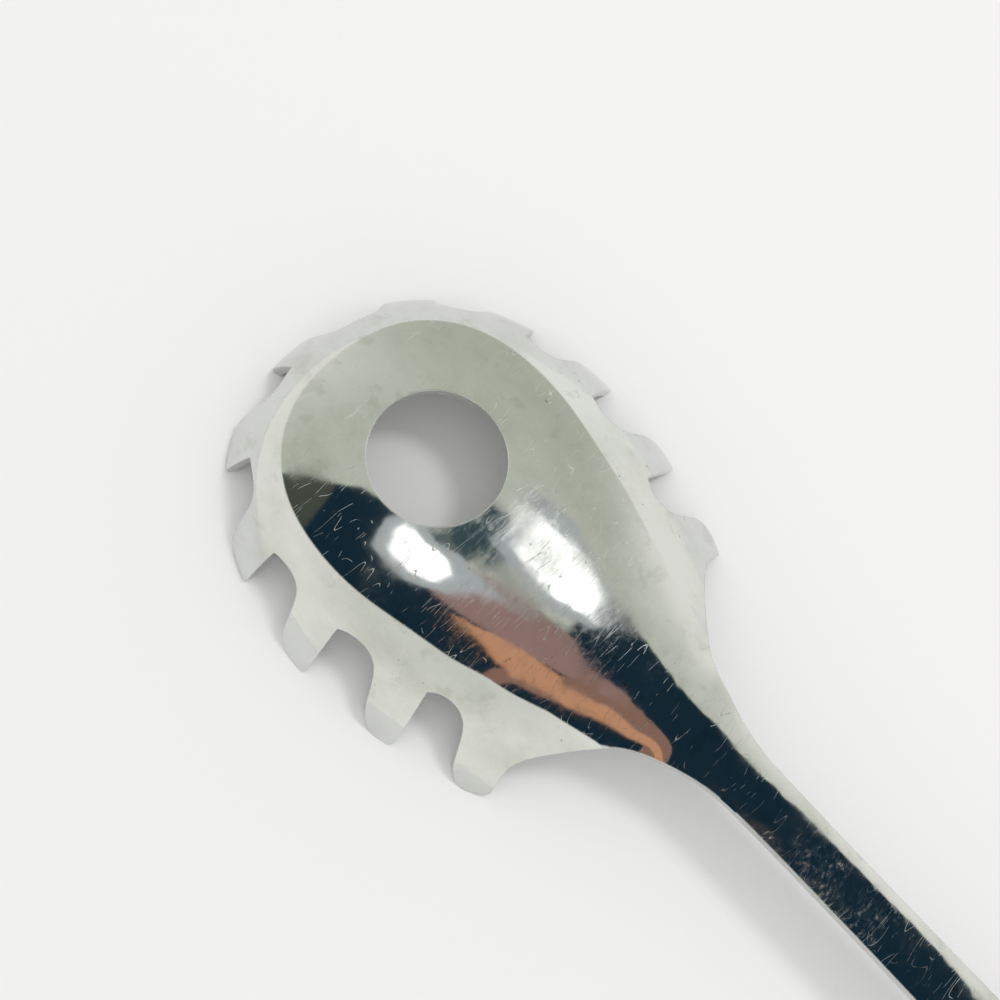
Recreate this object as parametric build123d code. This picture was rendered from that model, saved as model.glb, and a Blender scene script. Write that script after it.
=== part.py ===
from build123d import *
import math
import os

# A stainless pasta server, lying on its teeth with its domed back up. Millimetres, +Z up, table at z = 0.
# X runs from the tip of the head to the end of the handle. While it is drawn, the portion hole is on x = 0.

# Sheet and head
sheet = 1.8
hole_diameter = 24
head_front = 25.1          # hole centre to the crease at the head's tip
head_half_width = 25.2     # hole centre to the crease at its widest
head_back = 53             # hole centre to where the crease runs out at the neck
crease_height = 13         # table to the crease

# Toothed skirt, which falls from the crease to the table. Distances are seen from above.
front_reach = 9.6          # crease to tooth tip at the head's tip
side_reach = 16.3          # crease to tooth tip along the sides
front_band = 4.6           # crease to the bottom of a notch at the head's tip
side_band = 5.7            # crease to the bottom of a notch along the sides
side_bend = 39             # degrees by which the skirt steepens on its way down
neck_bend = 20             # the same at the neck, where the crease runs out
roof_slope = 32            # degrees, the skirt's cutting shape above the crease

# Handle
handle_reach = 266         # hole centre to the far end
neck_width = 10.1
handle_end_width = 18
crown = 1.1                # rise of the handle's middle over its edges
handle_end_height = 2.05   # table to the top of the far end
weld_place = 74            # hole centre to the middle of the weld
weld_width = 1.2
hang_hole_diameter = 8
hang_hole_edge = 6         # sheet left between the hanging hole and the far end

overrun = 5                # how far a cutting shape runs past what it cuts

# The crease seen from above: along X in shares of head_front or head_back, half width in shares of
# head_half_width. It goes on past the neck, outside the sheet.
crease_point_shares = [
    (-0.976, 0.262),
    (-0.892, 0.512),
    (-0.733, 0.73),
    (-0.51, 0.881),
    (-0.26, 0.968),
    (0.0, 1.0),
    (0.126, 0.992),
    (0.262, 0.956),
    (0.451, 0.853),
    (0.623, 0.758),
    (0.8, 0.64),
    (1.0, 0.528),
    (1.14, 0.484),
    (1.5, 0.46),
]
# Radius of the back from side to side: along X as above, radius in shares of head_half_width.
back_radius_shares = [
    (-1.0, 5.16),
    (-0.5, 5.16),
    (0.0, 5.14),
    (0.126, 4.96),
    (0.262, 4.55),
    (0.451, 3.6),
    (0.623, 2.72),
    (0.8, 1.95),
    (1.0, 1.3),
]
nose_place_share = -1.8    # a station past the head's tip that the back is drawn to
nose_height_share = 0.56   # its height in shares of crease_height
back_end_share = 0.785     # where along the crease the head's last station is
tool_span_share = 1.6      # half width of the back's cutting shape, in shares of head_half_width
steepest_share = 0.78      # the same, in shares of the back's radius

# Side of the neck from the last tooth to the strap: along X in shares of head_back, half width in
# shares of head_half_width.
neck_side_shares = [
    (0.898, 1.35),
    (0.877, 1.171),
    (0.86, 1.02),
    (0.874, 0.921),
    (0.904, 0.813),
    (0.972, 0.623),
    (1.038, 0.468),
]
# The rounded corner at the tip of the tooth beside the neck, in the same shares.
neck_corner_shares = [
    (0.893, 1.167),
    (0.88, 1.21),
    (0.866, 1.244),
    (0.847, 1.272),
    (0.823, 1.3),
    (0.804, 1.333),
]
# Stations of the handle: place from head_back to handle_reach, widening from neck_width to
# handle_end_width, drop of the back's middle line from the neck to the far end.
handle_station_shares = [
    (0.042, 0.80, -0.002),
    (0.08, 0.2, -0.003),
    (0.127, 0.02, -0.002),
    (0.197, 0.0, 0.0),
    (0.291, 0.015, 0.012),
    (0.408, 0.117, 0.065),
    (0.549, 0.325, 0.184),
    (0.69, 0.56, 0.367),
    (0.83, 0.82, 0.62),
]

# Stations at the handle's far end and past it.
handle_end_shares = [
    (1.0, 1.0, 1.0),
    (1.03, 1.0, 1.08),
]

# Trailing edges of the teeth, in shares of the crease from the head's tip to its end past the neck.
tooth_place_shares = [0.0445, 0.1665, 0.2844, 0.4064, 0.5466, 0.6875]
# A notch and the leading edge after it: steps along the crease from one trailing edge to the next, and depth
# from the notch's bottom to the tips.
notch_bottom_shares = [
    (-0.02, 0.083),
    (0.16, 0.0),
]
leading_edge_shares = [
    (0.4, 0.135),
    (0.51, 0.52),
    (0.57, 0.79),
    (0.64, 0.925),
    (0.75, 1.0),
    (0.88, 1.05),
]
# The rounded corner at a tooth's tip, where its trailing edge ends.
tip_corner_shares = [
    (-0.005, 0.88),
    (-0.025, 0.955),
    (-0.075, 1.005),
    (-0.15, 1.03),
]
notch_open_share = 1.5     # how far out a notch's cutting shape reaches, in shares of the reach
skirt_level_shares = [-0.19, 0.2, 0.6, 1.0, 1.3]    # levels the skirt is drawn through, of crease_height
reach_start_share = 0.12   # where along the crease the reach starts to grow
bend_start_share = 0.5     # where along the crease the bend starts to ease toward the neck
bend_end_share = 0.78
roof_end_share = 0.7       # where along the crease the skirt's cutting shape starts to stand upright


def along(share):
    """Place along X of a share of the head."""
    return share * (head_back if share > 0 else head_front)


def ease(value, start, end):
    """Smooth step from 0 at start to 1 at end."""
    step = min(1, max(0, (value - start) / (end - start)))
    return step * step * (3 - 2 * step)


def build_crease():
    """The crease seen from above, from its end on the -Y side round the head's tip to its end on the +Y side."""
    points = [(along(x), y * head_half_width) for x, y in crease_point_shares]
    near = [(x, -y) for x, y in reversed(points)]
    return Spline(*near, (-head_front, 0), *points)


crease = build_crease()
half_crease = crease.length / 2


def off_crease(place, distance):
    """Point seen from above: a place along the crease from the head's tip, then outward by a distance."""
    at = half_crease + place
    spot = crease.position_at(at, PositionMode.LENGTH)
    way = crease.tangent_at(at, PositionMode.LENGTH)
    return (spot.X - way.Y * distance, spot.Y + way.X * distance)


def front_to_side(place):
    """0 at the head's tip, 1 along the sides."""
    return ease(abs(place) / half_crease, reach_start_share, tooth_place_shares[4])


def reach_at(place):
    return front_reach + (side_reach - front_reach) * front_to_side(place)


def band_at(place):
    return front_band + (side_band - front_band) * front_to_side(place)


def skirt_offset(place, height, depth):
    """Distance outward from the crease at a height, on the skirt's outer face or a depth below it."""
    share = abs(place) / half_crease
    reach = reach_at(place)
    bend = side_bend + (neck_bend - side_bend) * ease(share, bend_start_share, bend_end_share)
    half_bend = math.radians(bend / 2)
    start = math.atan2(crease_height, reach) - half_bend
    radius = math.hypot(crease_height, reach) / (2 * math.sin(half_bend))
    rise = height - (crease_height - depth * math.cos(start))
    if rise > 0:
        roof = 1 / math.tan(math.radians(roof_slope)) * (1 - ease(share, roof_end_share, bend_end_share))
        return -depth * math.sin(start) - rise * roof
    cosine = (height - crease_height + radius * math.cos(start)) / (radius - depth)
    return (radius - depth) * math.sin(math.acos(cosine)) - radius * math.sin(start)


def skirt_tool(depth):
    """Everything inside the skirt's outer face, or inside its inner face at the sheet's depth."""
    steps = 10
    wires = []
    for level in skirt_level_shares:
        height = level * crease_height
        points = []
        for step in range(-steps, steps + 1):
            place = half_crease * step / steps
            x, y = off_crease(place, skirt_offset(place, height, depth))
            points.append((x, y, height))
        edge = Spline(*points)
        wires.append(Wire([edge, Edge.make_line(edge @ 1, edge @ 0)]))
    return Solid.make_loft(wires)


def back_section(x, top, radius, span, depth):
    """Cross-section under the back: an arc over a block that is deeper than the arc's ends."""
    top = top - depth
    radius = radius - depth
    span = min(span, radius * steepest_share)
    side = top - radius + math.sqrt(radius ** 2 - span ** 2)
    base = -head_half_width - depth
    arc = Edge.make_three_point_arc(Vector(x, -span, side), Vector(x, 0, top), Vector(x, span, side))
    block = Wire.make_polygon([(x, span, side), (x, span, base), (x, -span, base), (x, -span, side)], close=False)
    return Wire([arc] + list(block.edges()))


def back_radius(x):
    """Radius of the head's back from side to side."""
    line = Spline(*[(along(place), radius * head_half_width) for place, radius in back_radius_shares])
    spots = [line @ (step / 400) for step in range(401)]
    after = min(len(spots) - 1, max(1, sum(1 for spot in spots if spot.X < x)))
    first = spots[after - 1]
    last = spots[after]
    return first.Y + (last.Y - first.Y) * (x - first.X) / (last.X - first.X)


def strap_place(share):
    return head_back + share * (handle_reach - head_back)


def strap_half_width(share):
    return (neck_width + share * (handle_end_width - neck_width)) / 2


def back_tool(depth):
    """Everything under the back's face from the head's tip to past the end of the handle."""
    head_span = tool_span_share * head_half_width
    nose = nose_height_share * crease_height
    wires = [back_section(nose_place_share * head_front, nose, back_radius(-head_front), head_span, depth)]
    stations = 14
    for step in [0] + list(range(2, stations + 1)):
        x, half = off_crease(back_end_share * half_crease * step / stations, 0)
        radius = back_radius(x)
        top = crease_height + radius - math.sqrt(radius ** 2 - half ** 2)
        wires.append(back_section(x, top, radius, head_span, depth))
    neck_top = top
    for place, widening, drop_share in handle_station_shares + handle_end_shares:
        half = strap_half_width(widening)
        height = neck_top - (neck_top - handle_end_height) * drop_share
        radius = half ** 2 / (2 * crown) + crown / 2
        wires.append(back_section(strap_place(place), height, radius, half + overrun, depth))
    return Solid.make_loft(wires)


def plan_face():
    """The whole outline seen from above, with the head left open for the skirt to bound."""
    side = [(x * head_back, y * head_half_width) for x, y in neck_side_shares]
    side += [(strap_place(place), strap_half_width(widening)) for place, widening, _ in handle_station_shares]
    end_radius = handle_end_width / 2
    side.append((handle_reach - end_radius, end_radius))
    lead = (side[1][0] - side[0][0], side[1][1] - side[0][1])
    upper = Spline(*side, tangents=(lead, (1, 0)))
    x, y = side[-1]
    far = ThreePointArc((x, y), (handle_reach, 0), (x, -y))
    lower = Spline(*[(x, -y) for x, y in reversed(side)], tangents=((-1, 0), (-lead[0], lead[1])))
    wide = 2 * head_half_width
    x, y = side[0]
    rest = Polyline((x, -y), (x, -wide), (-wide, -wide), (-wide, wide), (x, wide), (x, y))
    return make_face([upper, far, lower, rest])


def zone(start, end):
    """Everything above the table between two places along X."""
    high = crease_height + 2 * overrun
    wide = 4 * head_half_width
    return Pos((start + end) / 2, 0, high / 2) * Box(end - start, wide, high)


def notch_point(place, depth_share):
    reach = reach_at(place)
    band = band_at(place)
    return off_crease(place, band + depth_share * (reach - band))


def open_point(place):
    return off_crease(place, notch_open_share * reach_at(place))


def raised(wires):
    """A cutting shape through the whole height from an outline seen from above."""
    height = crease_height + overrun
    return Pos(0, 0, -overrun / 2) * extrude(make_face(wires), height)


def notch(side, tooth):
    """Notch between a tooth's trailing edge and the next tooth toward the neck; side is 1 for +Y."""
    start = tooth_place_shares[tooth] * half_crease
    pitch = tooth_place_shares[tooth + 1] * half_crease - start
    edge = notch_bottom_shares + leading_edge_shares
    points = [notch_point(side * (start + pitch * step), depth) for step, depth in edge]
    corner = [notch_point(side * (start + pitch * step), depth) for step, depth in tip_corner_shares]
    first = open_point(side * (start + pitch * tip_corner_shares[-1][0]))
    last = open_point(side * (start + pitch * edge[-1][0]))
    far = Polyline(points[-1], last, first, corner[-1])
    return raised([Spline(*points), far, Spline(*reversed(corner)), Line(corner[0], points[0])])


def neck_corner(side):
    """What is cut off the tip of the tooth beside the neck to round its corner; side is 1 for +Y."""
    points = [(x * head_back, side * y * head_half_width) for x, y in neck_corner_shares]
    out = side * 2 * head_half_width
    far = Polyline(points[-1], (points[-1][0], out), (head_back, out), (head_back, points[0][1]), points[0])
    return raised([Spline(*points), far])


def flank_notch():
    """Notch between the leading edges of the middle tooth and of the tooth beside it on the +Y side."""
    start = tooth_place_shares[0] * half_crease
    other = tooth_place_shares[1] * half_crease
    pitch = other - start
    middle = [(-start + pitch * (1 - step), depth) for step, depth in reversed(leading_edge_shares)]
    beside = [(other - pitch * (1 - step), depth) for step, depth in leading_edge_shares]
    bottom = ((middle[-1][0] + beside[0][0]) / 2, notch_bottom_shares[-1][1])
    points = [notch_point(place, depth) for place, depth in middle + [bottom] + beside]
    last = open_point(beside[-1][0])
    first = open_point(middle[0][0])
    return raised([Spline(*points), Polyline(points[-1], last, first, points[0])])


def build():
    weld_start = weld_place - weld_width / 2
    weld_end = weld_place + weld_width / 2
    plan = Pos(0, 0, -overrun / 2) * extrude(plan_face(), 2 * (crease_height + overrun))
    outer_back = back_tool(0) & plan
    inner_back = back_tool(sheet)
    through = 2 * (crease_height + 2 * overrun)

    # Toothed head
    head = outer_back & zone(-2 * head_half_width, weld_start) & skirt_tool(0)
    head = head - (inner_back & skirt_tool(sheet))
    cuts = [Cylinder(hole_diameter / 2, through), flank_notch(), neck_corner(-1), neck_corner(1)]
    for tooth in range(len(tooth_place_shares) - 1):
        cuts.append(notch(-1, tooth))
        if tooth > 0:
            cuts.append(notch(1, tooth))
    head = head - cuts

    # Weld and strap handle
    strip = (outer_back & zone(weld_start, handle_reach + overrun)) - inner_back
    weld = strip & zone(weld_start, weld_end)
    strap = strip & zone(weld_end, handle_reach + overrun)
    hang_place = handle_reach - hang_hole_edge - hang_hole_diameter / 2
    strap = strap - Pos(hang_place, 0, 0) * Cylinder(hang_hole_diameter / 2, through)
    return {"toothed_head": head, "neck_weld": weld, "handle": strap}


os.makedirs("parts", exist_ok=True)
pieces = build()
ends = Compound(children=[Compound(piece.solids()) for piece in pieces.values()]).bounding_box()
middle = (ends.min.X + ends.max.X) / 2
for name, piece in pieces.items():
    placed = Pos(-middle, 0, 0) * piece
    export_step(placed, f"parts/{name}.step")
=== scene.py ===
import bpy
from mathutils import Matrix, Vector

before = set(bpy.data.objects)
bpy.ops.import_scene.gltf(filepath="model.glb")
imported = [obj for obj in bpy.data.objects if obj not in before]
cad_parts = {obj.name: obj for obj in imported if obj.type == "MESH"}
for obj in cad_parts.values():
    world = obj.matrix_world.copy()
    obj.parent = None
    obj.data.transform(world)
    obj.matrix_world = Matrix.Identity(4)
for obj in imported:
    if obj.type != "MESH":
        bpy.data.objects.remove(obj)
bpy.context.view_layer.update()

# View: the camera stands over the handle's near side and looks down on the domed head and the neck. Its place was
# found from the portion hole, the crease and the tooth tips. The handle leaves the view at the lower right.
view_place = Vector((-0.092057, -0.052620, 0.186011))
view_right = Vector((0.69172261, 0.69920505, 0.18064367))
view_up = Vector((-0.71945052, 0.64555498, 0.25622202))
view_back = Vector((0.06253631, -0.30719875, 0.94958841))
view_lens = bpy.data.cameras.new("view_lens")
view_lens.lens = 38.592
view_lens.sensor_width = 36.0
view_lens.clip_start = 0.005
view = bpy.data.objects.new("view", view_lens)
view.matrix_world = Matrix.Translation(view_place) @ Matrix((view_right, view_up, view_back)).transposed().to_4x4()
bpy.context.scene.collection.objects.link(view)
bpy.context.scene.camera = view
bpy.context.scene.view_settings.view_transform = "Standard"

# Table: a plain sheet of pale laminate under the server, much wider than the view. It takes the soft shadow and
# carries nothing else.
table_reach = 6.0
table_colour = (0.84, 0.84, 0.835, 1.0)
table_roughness = 0.6
table_shine = 0.2


def plain_sheet(name, corners, finish):
    """A flat sheet of the stage, which isn't part of the server."""
    outline = bpy.data.meshes.new(name)
    outline.from_pydata(corners, [], [tuple(range(len(corners)))])
    outline.materials.append(finish)
    piece = bpy.data.objects.new(name, outline)
    bpy.context.scene.collection.objects.link(piece)
    return piece


def new_finish(name):
    finish = bpy.data.materials.new(name)
    finish.use_nodes = True
    return finish, finish.node_tree.nodes, finish.node_tree.links


laminate, nodes, links = new_finish("table_laminate")
nodes["Principled BSDF"].inputs["Base Color"].default_value = table_colour
nodes["Principled BSDF"].inputs["Roughness"].default_value = table_roughness
nodes["Principled BSDF"].inputs["Specular IOR Level"].default_value = table_shine
table_corners = [(side * table_reach, end * table_reach, 0) for side, end in ((-1, -1), (1, -1), (1, 1), (-1, 1))]
plain_sheet("table", table_corners, laminate)

# Room: pale walls that slope up to a grey-green ceiling. The polish shows them by direction, while the table gets
# the same soft light from all of them. One lamp, high on the far side, throws the shadow toward the near side.
wall_colour = (0.97, 0.97, 0.92, 1.0)
slope_colour = (0.79, 0.80, 0.74, 1.0)
ceiling_colour = (0.60, 0.63, 0.55, 1.0)
far_wall_colour = (0.98, 1.0, 0.96, 1.0)
far_slope_colour = (0.55, 0.57, 0.49, 1.0)
wall_top = 0.45              # these three are heights of a direction, from 0 level to 1 straight up
slope_middle = 0.72
ceiling_start = 0.93
far_side_across = (0.2, 0.6)
far_side_along = (0.24, -0.02)
fill_level = 0.87
lamp_way = Vector((0.12, 0.54, 1.0)).normalized()
lamp_distance = 2.2
lamp_size = 0.52
lamp_power = 11.0
room = bpy.data.worlds.new("room")
room.use_nodes = True
bpy.context.scene.world = room
nodes = room.node_tree.nodes
links = room.node_tree.links
way = nodes.new("ShaderNodeTexCoord")
parts = nodes.new("ShaderNodeSeparateXYZ")
links.new(way.outputs["Generated"], parts.inputs[0])


def wall_to_ceiling(low_colour, middle_colour):
    ramp = nodes.new("ShaderNodeValToRGB")
    ramp.color_ramp.interpolation = "EASE"
    ramp.color_ramp.elements[0].position = wall_top
    ramp.color_ramp.elements[0].color = low_colour
    ramp.color_ramp.elements[1].position = ceiling_start
    ramp.color_ramp.elements[1].color = ceiling_colour
    ramp.color_ramp.elements.new(slope_middle).color = middle_colour
    links.new(parts.outputs["Z"], ramp.inputs["Fac"])
    return ramp.outputs["Color"]


def room_step(value, span):
    step = nodes.new("ShaderNodeMapRange")
    step.interpolation_type = "SMOOTHSTEP"
    step.inputs["From Min"].default_value = span[0]
    step.inputs["From Max"].default_value = span[1]
    links.new(value, step.inputs["Value"])
    return step.outputs[0]


def room_sum(kind, first, second):
    node = nodes.new("ShaderNodeMath")
    node.operation = kind
    links.new(first, node.inputs[0])
    links.new(second, node.inputs[1])
    return node.outputs[0]


far_side = room_sum("MULTIPLY", room_step(parts.outputs["Y"], far_side_across),
                    room_step(parts.outputs["X"], far_side_along))
walls = nodes.new("ShaderNodeMix")
walls.data_type = "RGBA"
links.new(far_side, walls.inputs["Factor"])
links.new(wall_to_ceiling(wall_colour, slope_colour), walls.inputs["A"])
links.new(wall_to_ceiling(far_wall_colour, far_slope_colour), walls.inputs["B"])
links.new(walls.outputs["Result"], nodes["Background"].inputs["Color"])
fill = nodes.new("ShaderNodeBackground")
fill.inputs["Color"].default_value = (fill_level, fill_level, fill_level, 1.0)
seen = nodes.new("ShaderNodeLightPath")
by_view_or_polish = room_sum("MAXIMUM", seen.outputs["Is Camera Ray"], seen.outputs["Is Glossy Ray"])
by_any = room_sum("MAXIMUM", by_view_or_polish, seen.outputs["Is Transmission Ray"])
either = nodes.new("ShaderNodeMixShader")
links.new(by_any, either.inputs["Fac"])
links.new(fill.outputs[0], either.inputs[1])
links.new(nodes["Background"].outputs[0], either.inputs[2])
links.new(either.outputs[0], nodes["World Output"].inputs["Surface"])
lamp_light = bpy.data.lights.new("lamp", "AREA")
lamp_light.shape = "DISK"
lamp_light.size = lamp_size
lamp_light.energy = lamp_power
lamp = bpy.data.objects.new("lamp", lamp_light)
lamp.location = lamp_way * lamp_distance
lamp.rotation_mode = "QUATERNION"
lamp.rotation_quaternion = lamp_way.to_track_quat("Z", "Y")
lamp.visible_glossy = False
bpy.context.scene.collection.objects.link(lamp)

# Cards: plain dark, warm and white sheets high over the table, which only the polish sees. Their corners are
# millimetres from the portion hole, seen from above. A card in a higher layer hangs lower and hides those above.
mm = 0.001
card_height = 0.40
card_gap = 0.002
hole_place = -0.115667
white_low_strength = 1.8
white_high_strength = 2.1
dark_colour = (0.007, 0.025, 0.042, 1.0)
olive_colour = (0.075, 0.085, 0.070, 1.0)
streak_colour = (0.045, 0.080, 0.095, 1.0)
mauve_colour = (0.35, 0.22, 0.20, 1.0)
orange_colour = (0.66, 0.33, 0.19, 1.0)
brown_colour = (0.30, 0.17, 0.13, 1.0)
glow_colour = (0.50, 0.53, 0.55, 1.0)
white_colour = (1.0, 1.0, 1.0, 1.0)


def card(name, colour, layer, corners, strength=1.0):
    finish, nodes, links = new_finish(name)
    glow = nodes.new("ShaderNodeEmission")
    glow.inputs["Color"].default_value = colour
    glow.inputs["Strength"].default_value = strength
    links.new(glow.outputs[0], nodes["Material Output"].inputs["Surface"])
    level = card_height - layer * card_gap
    piece = plain_sheet(name, [(hole_place + x * mm, y * mm, level) for x, y in corners], finish)
    piece.visible_camera = False
    piece.visible_diffuse = False
    piece.visible_shadow = False


card("dark_card_near", dark_colour, 0, [
    (-300, -160), (-193, -74), (-95, -5), (-30, 5), (15, 5), (60, 12), (110, -25), (155, -100), (212, -270),
    (205, -300), (125, -208), (60, -172), (0, -158), (-100, -146), (-200, -150), (-300, -230)])
card("olive_card", olive_colour, 1, [(-300, -165), (-193, -76), (-118, -24), (-104, -105), (-180, -160)])
card("dark_card_far", dark_colour, 0.5, [
    (64, 40), (64, 200), (100, 215), (150, 190), (198, 246), (268, 384), (430, 440), (430, -270), (207, -270),
    (150, -130), (90, -20), (62, 20)])
card("streak_card", streak_colour, 1, [(-26, 16), (4, 12), (12, 52), (7, 106), (0, 138), (-22, 134)])
card("mauve_card", mauve_colour, 2, [
    (6, -34), (6, 12), (26, 40), (70, 38), (104, -5), (112, -60), (80, -66), (45, -58), (16, -52)])
card("orange_card", orange_colour, 3, [
    (38, -64), (60, -58), (98, -66), (128, -92), (165, -125), (192, -160), (188, -178), (165, -160), (140, -146),
    (118, -130), (72, -102)])
card("brown_card", brown_colour, 2, [
    (100, -2), (136, -40), (165, -90), (195, -140), (195, -172), (186, -182), (150, -158), (134, -158),
    (122, -184), (106, -184), (98, -128), (108, -60)])
card("glow_card_low", glow_colour, 4, [(-50, -10), (-38, 12), (0, 28), (30, 14), (24, -40), (-4, -62), (-42, -54)])
card("glow_card_high", glow_colour, 4, [(4, 78), (34, 50), (76, 92), (78, 212), (30, 246), (-4, 206)])
card("white_card_low", white_colour, 5, [
    (-36, -12), (-28, 3), (-4, 8), (10, -8), (9, -36), (-8, -46), (-30, -40)], white_low_strength)
card("white_card_high", white_colour, 5, [
    (10, 96), (36, 80), (66, 108), (63, 192), (32, 206), (7, 176)], white_high_strength)

# Stainless sheet: the head, the weld and the handle are one kind of sheet, polished together. Use has left hairline
# scratches, wiping marks, water spots, a few dark specks, and one dulled patch on each larger piece. The scratches
# and the dulled patches are rougher, and are also painted lighter in colour as painted glint and sheen. The edges
# are broken by the polishing wheel, but not at the weld, where the pieces run on flush.
steel_colour = (0.70, 0.71, 0.69, 1.0)
stain_colour = (0.50, 0.51, 0.45, 1.0)
speck_colour = (0.20, 0.20, 0.17, 1.0)
# The lighter colour that scratches and dulled patches are painted toward, as painted glint and sheen.
glint_colour = (0.86, 0.87, 0.86, 1.0)
polish_low = 0.05
polish_high = 0.16
edge_round = 0.0004
weld_place = -0.041667
weld_reach = 0.0014
weld_fade = 1.6

# Each mark is a noise cut off between two levels: blotches to the metre, octaves, roughness, stretch, turn, levels.
even = (1, 1, 1)
wiping_marks = (55, 5.0, 0.6, (1, 1.6, 1), 0.4, 0.38, 0.72)
water_spots = (240, 3.0, 0.55, even, 0.0, 0.58, 0.70)
dark_specks = (560, 3.0, 0.65, even, 0.0, 0.70, 0.75)
dulled_grain = (1150, 5.0, 0.75, (1, 0.5, 1), 0.6, 0.42, 0.70)
dulled_patches = (140, 3.0, 0.6, even, 0.0, 0.38, 0.60)
scratched_patches = (45, 3.0, 0.6, even, 0.0, 0.36, 0.60)
wiping_stain = 0.55          # how far each mark takes the colour toward its own
spot_stain = 0.4
speck_stain = 0.7
scratch_glint = 0.5
haze_glint = 0.45
scratch_roughness = 0.42
haze_roughness = 0.40
haze_core = 0.4              # the share of its reach in which a dulled patch is at its full level
least_scratched = 0.25

# Hairlines in five directions: lines to the metre, turn, width, how much they bend, how rare they are. Their breaks:
# share of the lines' own number, octaves, roughness, stretch, further turn, and how sharply a line ends.
hairline_sets = (
    (420, 0.5, 0.006, 0.10, 0.56),
    (520, 2.1, 0.007, 0.08, 0.57),
    (640, -0.4, 0.008, 0.09, 0.56),
    (380, 1.3, 0.005, 0.12, 0.58),
    (460, -1.0, 0.006, 0.10, 0.57),
)
hairline_breaks = (0.55, 2.0, 0.55, (1, 0.7, 1), 0.2, 0.06)

# The pressed sheet isn't quite even, and each hairline is a shallow groove.
dents = (60, 2.0, 0.5)
dent_strength = 0.25
dent_depth = 0.00004
groove_strength = 0.3
groove_depth = 0.00001


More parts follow.
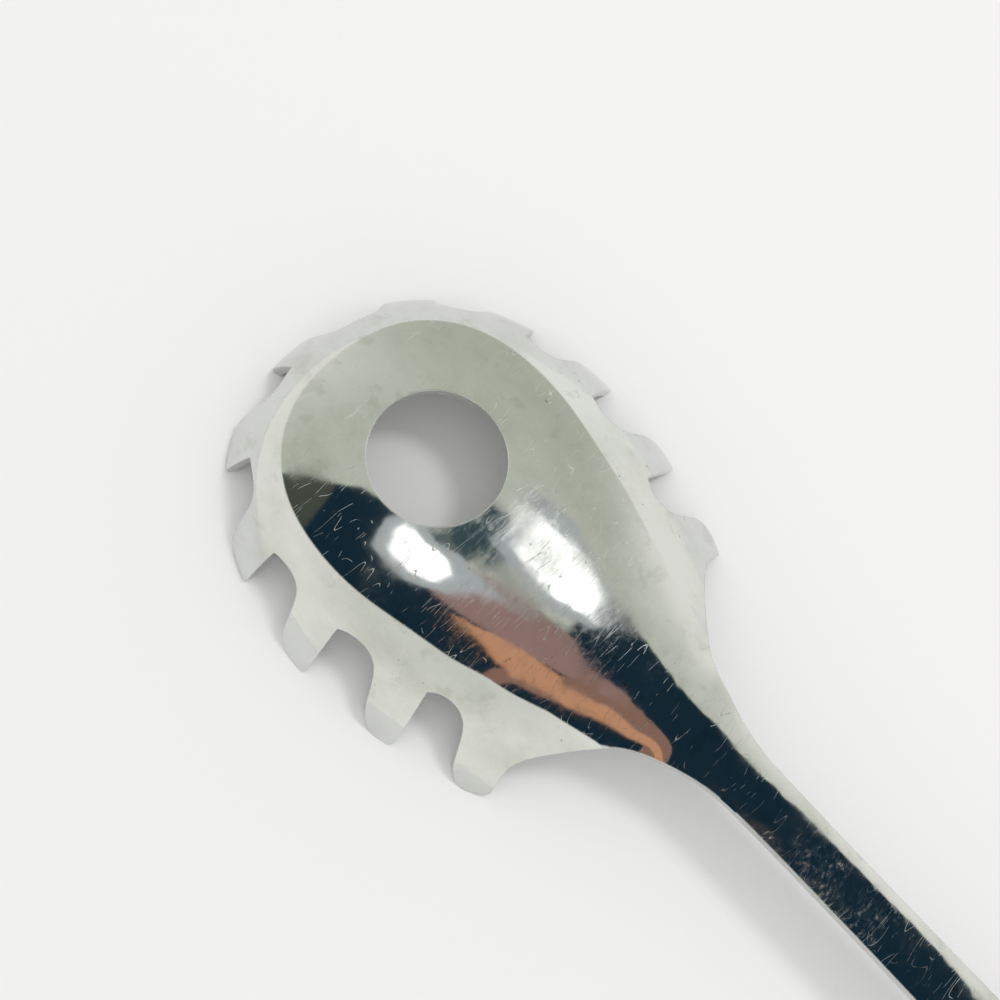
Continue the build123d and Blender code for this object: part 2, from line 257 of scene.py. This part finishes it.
def steel_polish(name, haze_place, haze_reach, haze_level, scratching):
    """Mirror polish with wear and painted glint; haze_place is the middle of the patch that other tools in a drawer
    have dulled, which is also painted lighter as sheen.
    """
    finish, nodes, links = new_finish(name)
    steel = nodes["Principled BSDF"]
    steel.inputs["Metallic"].default_value = 1.0
    spot = nodes.new("ShaderNodeTexCoord").outputs["Object"]

    def noise(scale, detail, roughness, stretch=even, turn=0.0):
        place = nodes.new("ShaderNodeMapping")
        place.inputs["Scale"].default_value = stretch
        place.inputs["Rotation"].default_value = (0, 0, turn)
        grain = nodes.new("ShaderNodeTexNoise")
        grain.inputs["Scale"].default_value = scale
        grain.inputs["Detail"].default_value = detail
        grain.inputs["Roughness"].default_value = roughness
        links.new(spot, place.inputs["Vector"])
        links.new(place.outputs[0], grain.inputs["Vector"])
        return grain.outputs["Fac"]

    def band(value, low, high, to_low=0.0, to_high=1.0):
        step = nodes.new("ShaderNodeMapRange")
        step.interpolation_type = "SMOOTHSTEP"
        step.inputs["From Min"].default_value = low
        step.inputs["From Max"].default_value = high
        step.inputs["To Min"].default_value = to_low
        step.inputs["To Max"].default_value = to_high
        links.new(value, step.inputs["Value"])
        return step.outputs[0]

    def marks(row, least=0.0):
        scale, detail, roughness, stretch, turn, low, high = row
        return band(noise(scale, detail, roughness, stretch, turn), low, high, least, 1.0)

    def join(kind, first, second):
        node = nodes.new("ShaderNodeMath")
        node.operation = kind
        for socket, value in zip(node.inputs, (first, second)):
            if isinstance(value, (int, float)):
                socket.default_value = value
            else:
                links.new(value, socket)
        return node.outputs[0]

    def blend(amount, first, second):
        mix = nodes.new("ShaderNodeMix")
        mix.data_type = "RGBA"
        links.new(amount, mix.inputs["Factor"])
        for socket, value in ((mix.inputs["A"], first), (mix.inputs["B"], second)):
            if isinstance(value, tuple):
                socket.default_value = value
            else:
                links.new(value, socket)
        return mix.outputs["Result"]

    def hairlines(scale, turn, width, bend, rare):
        """Thin lines where a stretched noise crosses its middle, broken up by a coarser one."""
        share, detail, roughness, stretch, more_turn, edge = hairline_breaks
        wave = noise(scale, 0.0, 0.4, (1, bend, 1), turn)
        away = join("ABSOLUTE", join("SUBTRACT", wave, 0.5), 0.0)
        line = band(away, 0.0, width, 1.0, 0.0)
        gaps = noise(scale * share, detail, roughness, stretch, turn + more_turn)
        return join("MULTIPLY", line, band(gaps, rare - scratching, rare - scratching + edge))

    scratches = hairlines(*hairline_sets[0])
    for hairline_set in hairline_sets[1:]:
        scratches = join("MAXIMUM", scratches, hairlines(*hairline_set))
    scratches = join("MULTIPLY", scratches, marks(scratched_patches, least_scratched))

    middle = nodes.new("ShaderNodeVectorMath")
    middle.operation = "DISTANCE"
    middle.inputs[1].default_value = haze_place
    links.new(spot, middle.inputs[0])
    near = band(middle.outputs["Value"], haze_reach * haze_core, haze_reach, 1.0, 0.0)
    near = join("MULTIPLY", near, marks(dulled_patches))
    haze = join("MULTIPLY", marks(dulled_grain), join("MULTIPLY", near, haze_level))
    wiping = marks(wiping_marks)
    spots = marks(water_spots)
    specks = marks(dark_specks)

    colour = blend(join("MULTIPLY", wiping, wiping_stain), steel_colour, stain_colour)
    colour = blend(join("MULTIPLY", spots, spot_stain), colour, stain_colour)
    colour = blend(join("MULTIPLY", specks, speck_stain), colour, speck_colour)
    # Scratches and the dulled patch are painted lighter in colour: painted glint and sheen, on top of their real
    # roughness below.
    painted_glint = join("MAXIMUM", join("MULTIPLY", scratches, scratch_glint), join("MULTIPLY", haze, haze_glint))
    colour = blend(painted_glint, colour, glint_colour)
    links.new(colour, steel.inputs["Base Color"])

    roughness = band(wiping, 0.0, 1.0, polish_low, polish_high)
    roughness = join("ADD", roughness, join("MULTIPLY", scratches, scratch_roughness))
    roughness = join("ADD", roughness, join("MULTIPLY", haze, haze_roughness))
    links.new(roughness, steel.inputs["Roughness"])

    along = nodes.new("ShaderNodeSeparateXYZ")
    links.new(spot, along.inputs[0])
    off_weld = join("ABSOLUTE", join("SUBTRACT", along.outputs["X"], weld_place), 0.0)
    broken_edge = nodes.new("ShaderNodeBevel")
    broken_edge.inputs["Radius"].default_value = edge_round
    as_pressed = nodes.new("ShaderNodeNewGeometry")
    surface = nodes.new("ShaderNodeMix")
    surface.data_type = "VECTOR"
    links.new(band(off_weld, weld_reach, weld_fade * weld_reach), surface.inputs["Factor"])
    links.new(as_pressed.outputs["Normal"], surface.inputs["A"])
    links.new(broken_edge.outputs[0], surface.inputs["B"])
    dented = nodes.new("ShaderNodeBump")
    dented.inputs["Strength"].default_value = dent_strength
    dented.inputs["Distance"].default_value = dent_depth
    links.new(noise(*dents), dented.inputs["Height"])
    links.new(surface.outputs["Result"], dented.inputs["Normal"])
    grooved = nodes.new("ShaderNodeBump")
    grooved.invert = True
    grooved.inputs["Strength"].default_value = groove_strength
    grooved.inputs["Distance"].default_value = groove_depth
    links.new(scratches, grooved.inputs["Height"])
    links.new(dented.outputs[0], grooved.inputs["Normal"])
    links.new(grooved.outputs[0], steel.inputs["Normal"])
    return finish


def dress(node_name, finish):
    """Gives a CAD node its finish; the node itself stays as it was packed."""
    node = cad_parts[node_name]
    node.data.materials.clear()
    node.data.materials.append(finish)


# Toothed head: one pressing of stainless sheet. Its teeth and portion hole are punched out, the sheet is drawn into
# a dome with a crisp crease round it, and the whole back is buffed. It is dulled a little toward the neck, beside
# the mirrored highlights, and painted lighter there as a sheen round them.
head_haze_place = (-0.088, -0.002, 0.015)
head_haze_reach = 0.032
head_haze_level = 0.24
head_scratching = 0.01
head_polish = steel_polish("head_polish", head_haze_place, head_haze_reach, head_haze_level, head_scratching)
dress("toothed_head", head_polish)

# Neck weld: the butt weld between head and handle, of the same stainless steel. It is ground flush and buffed over,
# so it doesn't show in the polish.
# Its faint dulled patch is also painted lighter, as painted sheen.
weld_haze_place = (-0.042, 0.0, 0.015)
weld_haze_reach = 0.02
weld_haze_level = 0.12
weld_scratching = 0.03
weld_polish = steel_polish("weld_polish", weld_haze_place, weld_haze_reach, weld_haze_level, weld_scratching)
dress("neck_weld", weld_polish)

# Handle: a strap of the same sheet, crowned across and bowed along, with a hanging hole punched through its end.
# Its flat back is scratched most, and has a dulled patch near the neck, which is also painted lighter as sheen.
handle_haze_place = (-0.0190, 0.0, 0.0158)
handle_haze_reach = 0.017
handle_haze_level = 0.80
handle_scratching = 0.045
handle_polish = steel_polish("handle_polish", handle_haze_place, handle_haze_reach, handle_haze_level,
                             handle_scratching)
dress("handle", handle_polish)
